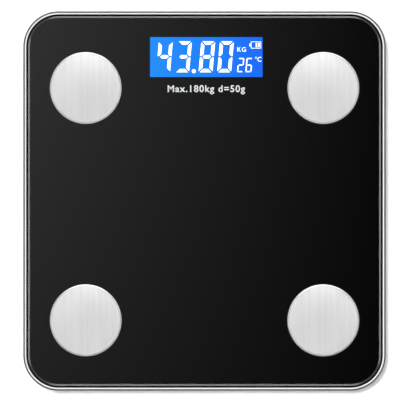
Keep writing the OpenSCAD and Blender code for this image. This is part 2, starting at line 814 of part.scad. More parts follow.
// Grooved rubber pad, seated in the foot
module foot_pad(corner) {
  groove_d = 0.5;
  chamfer = 0.4;
  color([0.12, 0.12, 0.12])
  at_foot(corner) difference() {
    rotate_extrude(angle = 360)
      polygon([[0, 0], [pad_r - chamfer, 0], [pad_r, chamfer], [pad_r, pad_t], [0, pad_t]]);
    for (share = [0.45, 0.64, 0.83])
      translate([0, 0, -1]) ring(share * pad_r + 0.5, share * pad_r - 0.5, 1 + groove_d);
  }
}

// Screw that holds the foot to the load cell's tongue, its head hidden by the pad
module foot_screw(corner) {
  head_h = 1.8;
  color([0.7, 0.7, 0.72])
  at_foot(corner) translate([0, 0, pad_t + 2.6]) mirror([0, 0, 1])
    pan_screw(foot_screw_r, cell_top_z + 0.6 - pad_t - 2.6, 2.75, head_h);
}

// ---------- Batteries ----------

module battery_door() {
  latch_mid_y = latch_inner_y + latch_bend_r;
  color([0.88, 0.88, 0.88])
  translate([0, bay_y, 0]) difference() {
    union() {
      translate([-door_w / 2, hinge_y, tray_z]) cube([door_w, door_edge_y - hinge_y, door_t]);
      translate([0, hinge_y, hinge_z]) rotate([0, 90, 0])
        cylinder(r = knuckle_r, h = door_w, center = true);
      translate([0, hinge_y, hinge_z]) rotate([0, 90, 0])
        cylinder(r = trunnion_r, h = door_w + 2 * (door_gap + trunnion_l), center = true);
      // Return-bend latch: inner leg, bend, outer leg and hook
      translate([-latch_w / 2, 0, 0]) rotate([90, 0, 90]) linear_extrude(height = latch_w) {
        translate([latch_inner_y, tray_z + eps]) square([latch_leg, latch_top_z - tray_z]);
        translate([latch_outer_y - latch_leg, tray_z + 0.5])
          square([latch_leg, latch_top_z - tray_z - 0.5]);
        intersection() {
          difference() {
            translate([latch_mid_y, latch_top_z]) circle(latch_bend_r);
            translate([latch_mid_y, latch_top_z]) circle(latch_bend_r - latch_leg);
          }
          translate([latch_inner_y, latch_top_z - eps])
            square([2 * latch_bend_r, latch_bend_r + 1]);
        }
        polygon([[latch_outer_y - 0.5, floor_z + 0.2], [latch_outer_y + hook_reach, floor_z + 0.3],
          [latch_outer_y + hook_reach, floor_z + 0.7], [latch_outer_y, floor_z + 1.8],
          [latch_outer_y - 0.5, floor_z + 1.8]]);
      }
    }
    for (i = [0:4]) // grip grooves on the outside
      translate([-9, door_edge_y - 6 - 2.2 * i, tray_z - eps]) cube([18, 1, 0.4]);
  }
}

// Where cell i lies across the bay, and which end its positive nub points to
function battery_x(i) = (i + 0.5 - battery_count / 2) * battery_pitch;
function battery_dir(i) = i % 2 == 0 ? 1 : -1;

// Puts children on cell i's axis, with local +Z running to its positive end
module on_battery_axis(i) {
  translate([battery_x(i), bay_y, battery_z]) rotate([-90 * battery_dir(i), 0, 0]) children();
}

module battery_cell(i) {
  nub_h = 0.9;
  nub_r = 1.9;
  edge = 0.5;
  r = battery_d / 2;
  base = -(bay_l / 2 - contact_t - spring_l - 0.2);
  can_l = battery_l - nub_h;
  color([0.85, 0.5, 0.2])
  on_battery_axis(i) translate([0, 0, base]) rotate_extrude(angle = 360)
    polygon([[0, 0], [r - edge, 0], [r, edge], [r, can_l - edge], [r - edge, can_l],
      [nub_r, can_l], [nub_r, can_l + nub_h], [0, can_l + nub_h]]);
}

// Conical coil on each negative contact, compressed against its cell
module battery_springs() {
  turns = 3;
  wire_r = 0.25;
  base_r = 3.6;
  tip_r = 2.2;
  start = -bay_l / 2 + contact_t + wire_r + 0.02;
  run = spring_l + 0.2 - 2 * wire_r - 0.06;
  coil = [for (k = [0:12 * turns]) let (a = 30 * k, s = k / (12 * turns), r = base_r
    + (tip_r - base_r) * s) [r * cos(a), r * sin(a), start + run * s]];
  color([0.75, 0.75, 0.78])
  for (i = [0:battery_count - 1]) on_battery_axis(i) wire(coil, wire_r, 6);
}

// Plates at both ends of the bay; a wide one links two neighbouring cells
module battery_contacts() {
  plate_h = battery_d - 1.5;
  single_w = battery_d - 2;
  module plate(x, end, w)
    translate([x - w / 2, bay_y + end * (bay_l / 2 - contact_t / 2) - contact_t / 2,
      battery_z - plate_h / 2]) cube([w, contact_t, plate_h]);
  link_w = single_w + battery_pitch;
  color([0.78, 0.78, 0.76]) {
    for (i = [0:2:battery_count - 2]) plate((battery_x(i) + battery_x(i + 1)) / 2, -1, link_w);
    for (i = [1:2:battery_count - 3]) plate((battery_x(i) + battery_x(i + 1)) / 2, 1, link_w);
    for (i = [0, battery_count - 1]) plate(battery_x(i), 1, single_w);
  }
}

// ---------- Unit button ----------

module unit_button() {
  face_z = tray_z + button_recess;
  color([0.35, 0.36, 0.38])
  translate([button_x, button_y, 0]) {
    translate([0, 0, face_z]) cylinder(r = button_r, h = button_flange_z - face_z + eps);
    translate([0, 0, button_flange_z]) cylinder(r = button_flange_r, h = button_flange_t);
    translate([0, 0, button_flange_z + button_flange_t - eps]) cylinder(r = 1.5, h = 0.8 + eps);
  }
}

module switch_plunger() {
  color([0.1, 0.1, 0.1])
  translate([button_x, button_y, button_top_z])
    cylinder(r = plunger_r, h = switch_z - button_top_z + 0.8);
}

// Tact switch, face down, hollow where its plunger moves
module unit_switch() {
  color([0.25, 0.25, 0.27])
  translate([button_x, button_y, switch_z]) difference() {
    translate([-switch_w / 2, -switch_w / 2, 0]) cube([switch_w, switch_w, switch_h]);
    translate([0, 0, -1]) cylinder(r = plunger_r + 0.3, h = 1 + 0.8 + button_travel + 0.3);
  }
}

module switch_board() {
  color([0.05, 0.35, 0.18])
  translate([button_x, button_y, switch_board_z]) linear_extrude(height = switch_board_t)
    difference() {
      rounded_rect(switch_board_w, switch_board_l, 1);
      for (x = [-1, 1]) translate([x * switch_post_x, 0]) circle(1.1);
    }
}

// ---------- Leads ----------

// Leads side by side along a route, each a way apart
module ribbon(points, ways) {
  mid = spline(points);
  n = len(mid);
  for (k = [0:ways - 1])
    wire([for (i = [0:n - 1])
      let (t = mid[min(i + 1, n - 1)] - mid[max(i - 1, 0)], side = unit([t[1], -t[0], 0]))
        mid[i] + (k - (ways - 1) / 2) * pin_pitch * side], lead_r, 6);
}

// Three leads from each load cell to its own header; the rear ones turn back, the front ones
// pass beside the battery bay
module cell_leads() {
  exit_z = cell_top_z + 0.8;
  gate_y = pod_outer_r + 1;
  gauge_end = cell_w / 2 - cell_frame_w - 0.95;
  color([0.7, 0.1, 0.1])
  for (i = [0:3])
    let (
      sx = CORNERS[i][0],
      sy = CORNERS[i][1],
      x = sx * foot_x,
      plug_x = window_x + cell_header_x[i],
      start = [[x, sy * (foot_y - gauge_end), exit_z], [x, sy * (foot_y - gate_y), exit_z],
        [x - sx * 3, sy * (foot_y - gate_y - 11), lead_run_z]],
      rear = [[sx * 64, plug_tail_y - 5, lead_run_z],
        [plug_x + sx * 7, plug_tail_y - 13, lead_run_z]],
      front = [[sx * (block_w / 2 + 38), bay_y - 20, lead_run_z],
        [sx * (block_w / 2 + 32), bay_y + 14, lead_run_z],
        [plug_x + sx * 20, plug_tail_y - 26, lead_run_z],
        [plug_x + sx * 5, plug_tail_y - 16, lead_run_z]],
      tail = [[plug_x, plug_tail_y - 8, lead_run_z], [plug_x, plug_tail_y - 2, lead_z],
        [plug_x, lead_end_y, lead_z]]
    ) ribbon(concat(start, sy > 0 ? rear : front, tail), 3);
}

// Leads from the electrodes, the battery contacts and the unit switch, each to its own header
module harness_leads() {
  top_run_z = lead_run_z + 4.4;
  mid_run_z = lead_run_z + 1.6;
  terminal_z = print_z - washer_t - 1.2;
  start_x = electrode_x - terminal_r - 4;
  pack_y = bay_y + block_rear_y;
  pack_z = battery_z - 1;
  board_side_z = switch_board_z + switch_board_t + lead_r;
  color([0.1, 0.1, 0.12]) {
    for (i = [0:3])
      let (
        sx = CORNERS[i][0],
        sy = CORNERS[i][1],
        y = sy > 0 ? electrode_rear_y : electrode_front_y,
        start = [for (run = [0, 2.4, 6]) [sx * (start_x - run), y, terminal_z]],
        plug_x = window_x + electrode_header_x + sx * (sy > 0 ? 3 : 1) * pin_pitch / 2,
        rear = [[sx * 62, plug_tail_y + 2, top_run_z], [sx * 38, pack_y + 9, top_run_z]],
        front = [[sx * (block_w / 2 + 34), y + 18, top_run_z],
          [sx * (block_w / 2 + 26), bay_y - 20, top_run_z],
          [sx * (block_w / 2 + 23), bay_y + 14, top_run_z],
          [sx * (block_w / 2 + 5), pack_y + 3, top_run_z]],
        tail = [[plug_x + sx * 9, pack_y + (sy > 0 ? 8 : 5), top_run_z],
          [plug_x + sx * 1.6, plug_tail_y - 9, top_run_z], [plug_x, plug_tail_y - 4, lead_z + 0.6],
          [plug_x, lead_end_y, lead_z]]
      ) ribbon(concat(start, sy > 0 ? rear : front, tail), 1);
    for (i = [0, battery_count - 1])
      let (
        x = battery_x(i),
        plug_x = window_x + battery_header_x + sign(x) * 3 * pin_pitch / 2
      ) ribbon([[x, pack_y + 0.1, pack_z], [x, pack_y + 4, pack_z],
        [(x + plug_x) / 2, plug_tail_y - 15, pack_z], [plug_x, plug_tail_y - 8, pack_z],
        [plug_x, lead_end_y, lead_z]], 1);
    let (plug_x = window_x + switch_header_x)
      ribbon([[button_x, button_y + 2, board_side_z], [button_x, button_y + 8, board_side_z],
        [button_x - 2, button_y + 19, mid_run_z], [plug_x + 9, plug_tail_y - 20, mid_run_z],
        [plug_x, plug_tail_y - 9, mid_run_z], [plug_x, lead_end_y, lead_z]], 2);
  }
}

// ---------- Node selection ----------

glass_platform();
back_print();
electrode(CORNERS[0]);  // electrode_rear_left
electrode(CORNERS[1]);  // electrode_rear_right
electrode(CORNERS[2]);  // electrode_front_left
electrode(CORNERS[3]);  // electrode_front_right
electrode_washers();
electrode_terminals();
electrode_nuts();
perimeter_tape();
pod_tape_pads();
lcd_gasket();
lcd_panel();
light_guide();
lcd_frame();
zebra_connector();
backlight_leds();
main_board();
controller_chips();
bluetooth_module();
board_capacitors();
crystal();
wire_headers();
wire_plugs();
board_screws();
base_tray();
cell_carrier(CORNERS[0]);  // cell_carrier_rear_left
cell_carrier(CORNERS[1]);  // cell_carrier_rear_right
cell_carrier(CORNERS[2]);  // cell_carrier_front_left
cell_carrier(CORNERS[3]);  // cell_carrier_front_right
load_cell(CORNERS[0]);  // load_cell_rear_left
load_cell(CORNERS[1]);  // load_cell_rear_right
load_cell(CORNERS[2]);  // load_cell_front_left
load_cell(CORNERS[3]);  // load_cell_front_right
strain_gauges();
foot_cup(CORNERS[0]);  // foot_cup_rear_left
foot_cup(CORNERS[1]);  // foot_cup_rear_right
foot_cup(CORNERS[2]);  // foot_cup_front_left
foot_cup(CORNERS[3]);  // foot_cup_front_right
foot_pad(CORNERS[0]);  // foot_pad_rear_left
foot_pad(CORNERS[1]);  // foot_pad_rear_right
foot_pad(CORNERS[2]);  // foot_pad_front_left
foot_pad(CORNERS[3]);  // foot_pad_front_right
foot_screw(CORNERS[0]);  // foot_screw_rear_left
foot_screw(CORNERS[1]);  // foot_screw_rear_right
foot_screw(CORNERS[2]);  // foot_screw_front_left
foot_screw(CORNERS[3]);  // foot_screw_front_right
battery_door();
battery_cell(0);  // battery_cell_1
battery_cell(1);  // battery_cell_2
battery_cell(2);  // battery_cell_3
battery_cell(3);  // battery_cell_4
battery_springs();
battery_contacts();
unit_button();
switch_plunger();
unit_switch();
switch_board();
cell_leads();
harness_leads();
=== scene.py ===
import math

import bmesh
import bpy
from mathutils import Matrix, Vector


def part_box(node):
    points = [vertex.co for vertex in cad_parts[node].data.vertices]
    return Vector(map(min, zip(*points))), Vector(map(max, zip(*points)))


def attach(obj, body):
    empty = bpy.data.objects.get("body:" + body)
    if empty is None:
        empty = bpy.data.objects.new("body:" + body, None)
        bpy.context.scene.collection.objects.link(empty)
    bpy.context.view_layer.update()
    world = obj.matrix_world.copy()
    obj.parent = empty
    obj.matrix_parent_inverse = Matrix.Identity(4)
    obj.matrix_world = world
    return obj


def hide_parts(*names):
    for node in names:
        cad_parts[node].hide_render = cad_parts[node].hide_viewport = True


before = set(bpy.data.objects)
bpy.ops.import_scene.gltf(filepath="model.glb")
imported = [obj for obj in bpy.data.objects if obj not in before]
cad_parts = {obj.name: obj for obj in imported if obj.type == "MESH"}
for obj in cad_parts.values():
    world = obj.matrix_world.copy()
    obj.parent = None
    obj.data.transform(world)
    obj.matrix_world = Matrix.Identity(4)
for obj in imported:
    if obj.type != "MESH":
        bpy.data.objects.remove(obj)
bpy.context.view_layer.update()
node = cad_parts
MM = 0.001

# ---------------------------------------------------------------------------------------------
# Base tray. One shallow dish of white ABS, injection moulded with a fine spark-eroded texture.
# Its flange carries the glass, and its floor holds the pods, the battery bay and the boards.
# ---------------------------------------------------------------------------------------------


class Signal:
    """A socket among a finish's nodes. Arithmetic on it adds Math nodes."""

    def __init__(self, socket):
        self.socket = socket

    def node(self, kind, settings=None, inputs=None, output=0):
        """Adds a node of any other kind: its settings first, then its sockets' values or links."""
        tree = self.socket.id_data
        made = tree.nodes.new(kind)
        for name, value in (settings or {}).items():
            setattr(made, name, value)
        for name, value in (inputs or {}).items():
            if isinstance(value, Signal):
                tree.links.new(value.socket, made.inputs[name])
            else:
                made.inputs[name].default_value = value
        return Signal(made.outputs[output])

    def feed(self, shader, name):
        self.socket.id_data.links.new(self.socket, shader.inputs[name])

    def math(self, operation, *others):
        """A Math node on this value and the others."""
        values = dict(enumerate((self, *others)))
        return self.node("ShaderNodeMath", {"operation": operation}, values)

    def __add__(self, other):
        return self.math("ADD", other)

    def __sub__(self, other):
        return self.math("SUBTRACT", other)

    def __rsub__(self, other):
        return self.math("MULTIPLY_ADD", -1.0, other)

    def __mul__(self, other):
        return self.math("MULTIPLY", other)

    def __truediv__(self, other):
        return self.math("DIVIDE", other)

    def __abs__(self):
        return self.math("ABSOLUTE")

    __radd__, __rmul__ = __add__, __mul__

    def step(self, low, high, start=0.0, end=1.0, easing="SMOOTHSTEP"):
        """Start below low, end above high, eased between them."""
        return self.node(
            "ShaderNodeMapRange",
            {"interpolation_type": easing},
            {"Value": self, "From Min": low, "From Max": high, "To Min": start, "To Max": end},
        )

    def noise(self, scale, detail=3.0, rough=0.5, output=0):
        return self.node(
            "ShaderNodeTexNoise",
            {"noise_dimensions": "3D"},
            {"Vector": self, "Scale": scale, "Detail": detail, "Roughness": rough},
            output,
        )

    def stretch(self, x, y, z, shift=(0, 0, 0)):
        return self.node(
            "ShaderNodeMapping",
            {"vector_type": "POINT"},
            {"Vector": self, "Scale": (x, y, z), "Location": shift},
        )

    def between(self, low, high):
        """Blends two colours, or what two sockets send, by this value."""
        low, high = (c if isinstance(c, Signal) else (*c, 1) for c in (low, high))
        return self.node("ShaderNodeMix", {"data_type": "RGBA"}, {0: self, 6: low, 7: high}, 2)

    def shaders(self, first, second):
        """Mixes two shaders by this value."""
        return self.node("ShaderNodeMixShader", None, {0: self, 1: first, 2: second})

    def axis(self, letter):
        return self.node("ShaderNodeSeparateXYZ", None, {0: self}, letter)


def finish(name, **sockets):
    """A new finish: the material, its shader with constant sockets set, and Object coordinates."""
    material = bpy.data.materials.new(name)
    material.use_nodes = True
    tree = material.node_tree
    shader = tree.nodes["Principled BSDF"]
    for key, value in sockets.items():
        shader.inputs[key.replace("_", " ").title().replace("Ior", "IOR")].default_value = value
    place = Signal(tree.nodes.new("ShaderNodeTexCoord").outputs["Object"])
    return material, shader, place


def relief(shader, height, depth, edge=0.0):
    """Bump of a given depth in metres, over edges eased to a small radius."""
    inputs = {"Height": height, "Distance": depth, "Strength": 1.0}
    if edge:
        inputs["Normal"] = height.node("ShaderNodeBevel", {"samples": 6}, {"Radius": edge})
    height.node("ShaderNodeBump", None, inputs).feed(shader, "Normal")


def moulded(name, dark, light, rough, texture=1600.0, depth=0.03 * MM, edge=0.35 * MM):
    """Moulded plastic: faint cloudiness, eroded texture, and scuffs that shine a little more."""
    material, shader, place = finish(name)
    cloud = place.noise(14.0, 4.0, 0.6)
    erosion = place.noise(texture, 2.0, 0.6)
    scuff = place.stretch(1, 0.25, 1).noise(90.0, 5.0, 0.7).step(0.58, 0.75)
    cloud.between(dark, light).feed(shader, "Base Color")
    (rough + 0.10 * erosion - 0.14 * scuff).feed(shader, "Roughness")
    relief(shader, erosion, depth, edge)
    return material


def dress(material, *names):
    """Gives CAD nodes their finish."""
    for name in names:
        slots = node[name].data.materials
        slots.clear()
        slots.append(material)


TRAY_WHITE = (0.82, 0.82, 0.81)
TRAY_SHADE = (0.77, 0.77, 0.765)
tray_plastic = moulded("tray_plastic", TRAY_SHADE, TRAY_WHITE, 0.42)
dress(tray_plastic, "base_tray")

# ---------------------------------------------------------------------------------------------
# Load cells. Stamped spring-steel plates, nickel plated, each with a bonded strain gauge under a
# bead of white silicone. A moulded puck on the frame of each plate carries the glass's load.
# ---------------------------------------------------------------------------------------------

CORNERS = ("rear_left", "rear_right", "front_left", "front_right")
plated, shader, place = finish("nickel_plate", metallic=1.0)
rolling = place.stretch(1, 14, 1).noise(700.0, 4.0, 0.6)
rolling.between((0.50, 0.50, 0.50), (0.66, 0.66, 0.65)).feed(shader, "Base Color")
(0.28 + 0.2 * rolling).feed(shader, "Roughness")
relief(shader, rolling, 0.01 * MM, 0.15 * MM)
dress(plated, *["load_cell_" + c for c in CORNERS])

silicone, shader, place = finish("gauge_silicone", coat_weight=0.3)
lumps = place.noise(350.0, 2.0, 0.5)
lumps.between((0.72, 0.72, 0.68), (0.86, 0.86, 0.83)).feed(shader, "Base Color")
(0.3 + 0.2 * lumps).feed(shader, "Roughness")
relief(shader, lumps, 0.4 * MM, 0.3 * MM)
dress(silicone, "strain_gauges")

puck_plastic = moulded("puck_plastic", (0.74, 0.74, 0.71), (0.80, 0.80, 0.78), 0.5)
dress(puck_plastic, *["cell_carrier_" + c for c in CORNERS])

# ---------------------------------------------------------------------------------------------
# Feet. Each is a moulded cup screwed to its cell's tongue, with a grooved black rubber pad seated
# in its base. The rubber picks up dust on its lands and stays darker in its grooves.
# ---------------------------------------------------------------------------------------------

foot_plastic = moulded("foot_plastic", (0.75, 0.75, 0.74), (0.80, 0.80, 0.79), 0.45)
dress(foot_plastic, *["foot_cup_" + c for c in CORNERS])

foot_rubber, shader, place = finish("foot_rubber", specular_ior_level=0.35)
pores = place.noise(1900.0, 3.0, 0.7)
dust = place.noise(120.0, 5.0, 0.65).step(0.45, 0.75) * (1 - place.axis("Z").step(0.1 * MM, 0.5 * MM))
dust.between((0.013, 0.013, 0.013), (0.055, 0.052, 0.048)).feed(shader, "Base Color")
(0.62 + 0.2 * pores + 0.1 * dust).feed(shader, "Roughness")
relief(shader, pores, 0.05 * MM, 0.2 * MM)
dress(foot_rubber, *["foot_pad_" + c for c in CORNERS])

zinc, shader, place = finish("zinc_plate", metallic=1.0)
bloom = place.noise(900.0, 4.0, 0.6)
bloom.between((0.48, 0.49, 0.50), (0.66, 0.66, 0.64)).feed(shader, "Base Color")
(0.22 + 0.25 * bloom).feed(shader, "Roughness")
relief(shader, bloom, 0.01 * MM, 0.1 * MM)
dress(zinc, *["foot_screw_" + c for c in CORNERS])

# ---------------------------------------------------------------------------------------------
# Boards. Green glass-epoxy boards with copper showing through the solder mask as lighter tracks.
# They carry black moulded chips, a tinned radio module, sleeved capacitors and nylon headers.
# ---------------------------------------------------------------------------------------------

board_green, shader, place = finish("solder_mask", coat_weight=0.5, coat_roughness=0.15)
tracks = place.node(
    "ShaderNodeTexBrick",
    {"offset": 0.37, "squash": 1.6, "squash_frequency": 3},
    {
        "Vector": place,
        "Scale": 90.0,
        "Mortar Size": 0.05,
        "Brick Width": 0.9,
        "Row Height": 0.22,
        "Color1": (0, 0, 0, 1),
        "Color2": (0, 0, 0, 1),
        "Mortar": (1, 1, 1, 1),
    },
)
copper = tracks.node("ShaderNodeRGBToBW", None, {0: tracks})
copper.between((0.010, 0.085, 0.032), (0.030, 0.190, 0.075)).feed(shader, "Base Color")
(0.34 + 0.12 * place.noise(600.0)).feed(shader, "Roughness")
relief(shader, copper, 0.03 * MM)
dress(board_green, "main_board", "switch_board")

chip_black = moulded("chip_black", (0.012, 0.012, 0.013), (0.020, 0.020, 0.022), 0.5, 2600.0)
dress(chip_black, "controller_chips", "unit_switch", "switch_plunger")

tin, shader, place = finish("tinned_shield", metallic=1.0)
flow = place.noise(420.0, 4.0, 0.55)
flow.between((0.55, 0.55, 0.55), (0.72, 0.72, 0.71)).feed(shader, "Base Color")
(0.25 + 0.2 * flow).feed(shader, "Roughness")
relief(shader, flow, 0.02 * MM, 0.15 * MM)
dress(tin, "bluetooth_module", "crystal")

sleeve_blue, shader, place = finish("capacitor_sleeve", coat_weight=0.6, coat_roughness=0.1)
shrink = place.noise(500.0, 3.0)
shrink.between((0.012, 0.018, 0.060), (0.020, 0.030, 0.095)).feed(shader, "Base Color")
(0.3 + 0.15 * shrink).feed(shader, "Roughness")
relief(shader, shrink, 0.03 * MM, 0.3 * MM)
dress(sleeve_blue, "board_capacitors")

nylon = moulded("natural_nylon", (0.70, 0.68, 0.60), (0.80, 0.78, 0.71), 0.4, 900.0)
dress(nylon, "wire_headers", "wire_plugs")
dress(zinc, "board_screws")

# ---------------------------------------------------------------------------------------------
# Leads. Thin stranded wires in soft PVC, red from the load cells and black from the rest. They
# are crimped into small plugs at the board and lie along the tray's floor.
# ---------------------------------------------------------------------------------------------


def pvc(name, dark, light):
    material, shader, place = finish(name, coat_weight=0.2)
    mottle = place.noise(300.0, 3.0)
    mottle.between(dark, light).feed(shader, "Base Color")
    (0.36 + 0.14 * mottle).feed(shader, "Roughness")
    relief(shader, mottle, 0.03 * MM)
    return material


dress(pvc("red_lead", (0.40, 0.010, 0.010), (0.55, 0.020, 0.016)), "cell_leads")
dress(pvc("black_lead", (0.010, 0.010, 0.011), (0.022, 0.022, 0.024)), "harness_leads")

# ---------------------------------------------------------------------------------------------
# Display. A blue negative panel over an edge-lit acrylic guide, in a white moulded frame. The
# panel glows paler at the left and deeper at the right, away from its lamps.
# ---------------------------------------------------------------------------------------------

frame_plastic = moulded("frame_plastic", (0.78, 0.78, 0.76), (0.84, 0.84, 0.82), 0.5)
dress(frame_plastic, "lcd_frame")

acrylic, shader, place = finish(
    "acrylic_guide", transmission_weight=0.6, ior=1.49, emission_strength=0.6
)
dots = place.node("ShaderNodeTexVoronoi", {"feature": "F1"}, {"Vector": place, "Scale": 700.0})
dots.step(0.25, 0.45).between((0.85, 0.92, 1.0), (0.55, 0.75, 1.0)).feed(shader, "Base Color")
(0.1 + 0.5 * dots.step(0.25, 0.45)).feed(shader, "Roughness")
dots.between((0.5, 0.75, 1.0), (0.3, 0.6, 1.0)).feed(shader, "Emission Color")
dress(acrylic, "light_guide")

lamp, shader, place = finish("lamp_lens", emission_strength=1.5, coat_weight=0.8)
phosphor = place.noise(900.0, 2.0)
phosphor.between((0.85, 0.85, 0.55), (0.95, 0.93, 0.70)).feed(shader, "Base Color")
phosphor.between((0.75, 0.88, 1.0), (0.9, 0.95, 1.0)).feed(shader, "Emission Color")
(0.15 + 0.2 * phosphor).feed(shader, "Roughness")
dress(lamp, "backlight_leds")

elastomer, shader, place = finish("elastomer_strip")
stripes = place.node("ShaderNodeTexWave", {"bands_direction": "X"}, {"Vector": place, "Scale": 1500.0})
stripes.between((0.03, 0.03, 0.03), (0.50, 0.48, 0.46)).feed(shader, "Base Color")
(0.55 + 0.2 * stripes).feed(shader, "Roughness")
dress(elastomer, "zebra_connector")

GLOW_LEFT = (0.0, 0.29, 1.08)
GLOW_MID = (0.0, 0.235, 1.10)
GLOW_RIGHT = (0.0, 0.15, 1.10)
panel_low, panel_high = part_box("lcd_panel")
panel_blue, shader, place = finish("blue_panel", emission_strength=1.0, specular_ior_level=0.1)
across = (place.axis("X") - panel_low.x) / (panel_high.x - panel_low.x)
left_half = across.step(0.0, 0.5).between(GLOW_LEFT, GLOW_MID)
glow = across.step(0.5, 1.0).between(left_half, GLOW_RIGHT)
cell_weave = place.noise(2200.0, 1.0)
cell_weave.between((0.0, 0.01, 0.04), (0.0, 0.015, 0.05)).feed(shader, "Base Color")
glow.feed(shader, "Emission Color")
(0.3 + 0.1 * cell_weave).feed(shader, "Roughness")
dress(panel_blue, "lcd_panel")

# ---------------------------------------------------------------------------------------------
# Figures. The display's lit segments are clear windows in the panel's ink, so they show white.
# Each numeral is seven mitred bars with hairline gaps, leaning a little to the right.
# ---------------------------------------------------------------------------------------------

LIT_BARS = {"0": "abcdef", "2": "abdeg", "3": "abcdg", "4": "bcfg", "6": "acdefg", "8": "abcdefg"}
FIGURE_LEAN = math.tan(math.radians(5.2))
INK_Z, INK_T = panel_high.z + 0.03 * MM, 0.05 * MM


def bar_corners(bar, w, h, t):
    """Corners of one bar of a numeral w wide and h high with strokes t thick."""
    m = h / 2
    left = {
        "f": [(0, h), (t, h - t), (t, m + t / 2), (t / 2, m), (0, m)],
        "e": [(0, m), (t / 2, m), (t, m - t / 2), (t, t), (0, 0)],
    }
    if bar in left:
        return left[bar]
    if bar in "bc":
        return [(w - x, y) for x, y in left["f" if bar == "b" else "e"]]
    return {
        "a": [(0, h), (w, h), (w - t, h - t), (t, h - t)],
        "d": [(0, 0), (t, t), (w - t, t), (w, 0)],
        "g": [(t / 2, m), (t, m + t / 2), (w - t, m + t / 2), (w - t / 2, m),
              (w - t, m - t / 2), (t, m - t / 2)],
    }[bar]


def numeral(bm, figure, x, y, w, h, t, gap):
    """Adds a numeral's lit bars, each drawn in from its neighbours by half the gap."""
    lean = Matrix(((1, FIGURE_LEAN, 0, x), (0, 1, 0, y), (0, 0, 1, 0), (0, 0, 0, 1)))
    for bar in LIT_BARS[figure]:
        corners = [bm.verts.new((cx, cy, 0)) for cx, cy in bar_corners(bar, w, h, t)]
        face = bm.faces.new(corners)
        face.normal_update()
        rim_highlight = bmesh.ops.inset_region(
            bm, faces=[face], thickness=gap / 2, use_even_offset=True, use_boundary=True
        )
        bmesh.ops.delete(bm, geom=rim_highlight["faces"], context="FACES")
        bmesh.ops.transform(bm, matrix=lean, verts=list(face.verts))


def piece(name, bm, material, body, smooth_below=30.0):
    """Makes a finished object of a bmesh: normals outward, crisp edges kept, riding on a body."""
    bmesh.ops.remove_doubles(bm, verts=bm.verts, dist=0.0005 * MM)
    bmesh.ops.recalc_face_normals(bm, faces=bm.faces)
    for face in bm.faces:
        face.smooth = True
    for edge in bm.edges:
        edge.smooth = edge.calc_face_angle(0.0) < math.radians(smooth_below)
    mesh = bpy.data.meshes.new(name)
    bm.to_mesh(mesh)
    bm.free()
    made = bpy.data.objects.new(name, mesh)
    bpy.context.scene.collection.objects.link(made)
    mesh.materials.append(material)
    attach(made, body)
    return made


def lettering(bm, words, size, place, align="LEFT", weight=0.0, spacing=1.0):
    """Adds flat words in the built-in sans face, with their place already applied."""
    curve = bpy.data.curves.new("words", "FONT")
    curve.body, curve.size, curve.align_x, curve.offset = words, size, align, weight
    curve.space_character = spacing
    draft = bpy.data.objects.new("words", curve)
    bpy.context.scene.collection.objects.link(draft)
    bpy.context.view_layer.update()
    finished = draft.evaluated_get(bpy.context.evaluated_depsgraph_get())
    flat = bpy.data.meshes.new_from_object(finished)
    flat.transform(Matrix.Translation(place))
    bm.from_mesh(flat)
    bpy.data.objects.remove(draft)
    bpy.data.meshes.remove(flat)
    bpy.data.curves.remove(curve)


def thicken(bm, z, h):
    """Raises flat faces at z = 0 into a skin h thick standing at z."""
    top = bmesh.ops.extrude_face_region(bm, geom=bm.faces[:] + bm.edges[:] + bm.verts[:])
    raised = [v for v in top["geom"] if isinstance(v, bmesh.types.BMVert)]
    bmesh.ops.translate(bm, verts=raised, vec=(0, 0, h))
    bmesh.ops.translate(bm, verts=bm.verts, vec=(0, 0, z))


lit_white, shader, place = finish("lit_white", emission_strength=1.25, specular_ior_level=0.0)
weave = place.noise(2500.0, 1.0)
weave.between((0.75, 0.78, 0.82), (0.85, 0.88, 0.90)).feed(shader, "Base Color")
weave.between((0.97, 0.985, 1.0), (1.0, 1.0, 1.0)).feed(shader, "Emission Color")
(0.5 + 0.1 * weave).feed(shader, "Roughness")

FIGURE_W, FIGURE_H, FIGURE_T = 11.85 * MM, 25.1 * MM, 3.75 * MM
FIGURE_Y, FIGURE_GAP = 98.9 * MM, 1.15 * MM
FIGURES_X = (-38.0 * MM, -23.25 * MM, -5.2 * MM, 9.2 * MM)
POINT_R, POINT_AT = 1.55 * MM, (-8.25 * MM, 100.3 * MM, 0)
bm = bmesh.new()
for figure, x in zip("4380", FIGURES_X):
    numeral(bm, figure, x, FIGURE_Y, FIGURE_W, FIGURE_H, FIGURE_T, FIGURE_GAP)
bmesh.ops.create_circle(
    bm, cap_ends=True, segments=24, radius=POINT_R, matrix=Matrix.Translation(POINT_AT)
)
thicken(bm, INK_Z, INK_T)
piece("weight_figures", bm, lit_white, "platform")

# To the right of the reading: its unit, and the room's temperature in smaller figures.
SMALL_W, SMALL_H, SMALL_T = 5.1 * MM, 11.3 * MM, 1.25 * MM
SMALL_Y, SMALL_GAP, SMALL_X = 99.4 * MM, 0.4 * MM, (24.9 * MM, 31.3 * MM)
UNIT_SIZE, KG_AT, DEGREE_AT = 5.0 * MM, (25.0 * MM, 115.4 * MM, 0), (38.7 * MM, 107.8 * MM, 0)
bm = bmesh.new()
for figure, x in zip("26", SMALL_X):
    numeral(bm, figure, x, SMALL_Y, SMALL_W, SMALL_H, SMALL_T, SMALL_GAP)
lettering(bm, "KG", UNIT_SIZE, KG_AT, spacing=1.15)
lettering(bm, "°C", UNIT_SIZE, DEGREE_AT)
thicken(bm, INK_Z, INK_T)
piece("unit_figures", bm, lit_white, "platform")


